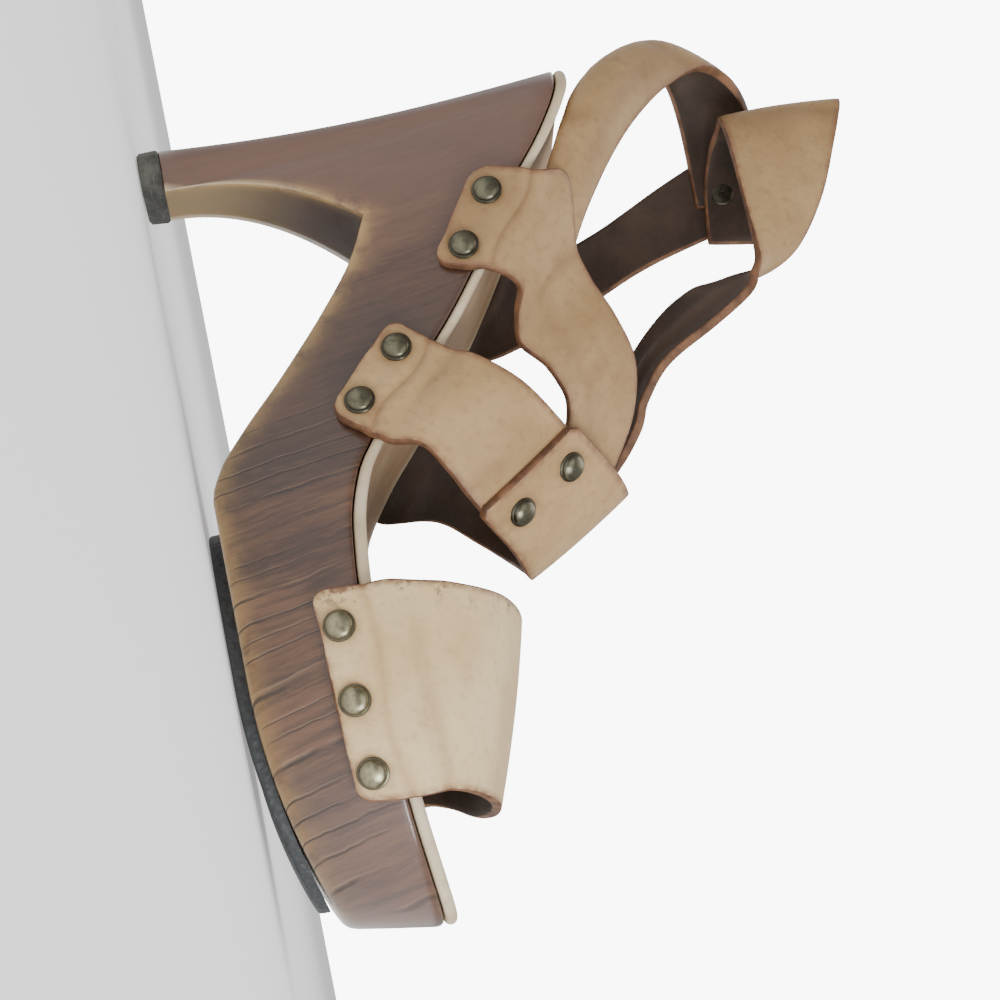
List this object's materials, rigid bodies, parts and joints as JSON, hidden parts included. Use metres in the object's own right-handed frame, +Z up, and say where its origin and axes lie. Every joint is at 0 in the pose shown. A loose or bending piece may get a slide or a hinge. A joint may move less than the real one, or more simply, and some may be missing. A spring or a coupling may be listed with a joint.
{
  "type": "platform sandal",
  "caption": "Left-foot platform sandal: stained wooden sole with a high heel, tan leather straps riveted to its sides, and rubber under forefoot and heel.",
  "frame": {"origin": "on the floor, in the middle of the forefoot's flat spot", "axes": "+X towards the toe, +Y towards the outer (lateral) side of the foot, +Z up"},
  "size_m": [0.2283, 0.1083, 0.2006],
  "materials": {
    "wood": "dark stained, lacquered, with an open grain and worn ochre edges",
    "rubber": "matt, pebbled",
    "leather": "natural tan, matt, with burnished edges and a dark lining",
    "insole": "cream, satin",
    "brass": "antique, dark patina with bright crowns"
  },
  "bodies": {
    "root": {"sole_block": "wood", "forefoot_pad": "rubber", "heel_tip": "rubber", "insole": "insole", "toe_strap": "leather", "upper_straps": "leather", "rivet_toe_medial_1": "brass", "rivet_toe_medial_2": "brass", "rivet_toe_medial_3": "brass", "rivet_toe_lateral_1": "brass", "rivet_toe_lateral_2": "brass", "rivet_toe_lateral_3": "brass", "rivet_instep_medial_1": "brass", "rivet_instep_medial_2": "brass", "rivet_instep_lateral_1": "brass", "rivet_instep_lateral_2": "brass", "rivet_rear_medial_1": "brass", "rivet_rear_medial_2": "brass", "rivet_rear_lateral_1": "brass", "rivet_rear_lateral_2": "brass", "rivet_joint_1": "brass", "rivet_joint_2": "brass", "rivet_heel_lateral_1": "brass", "rivet_heel_lateral_2": "brass"}
  },
  "joints": []
}
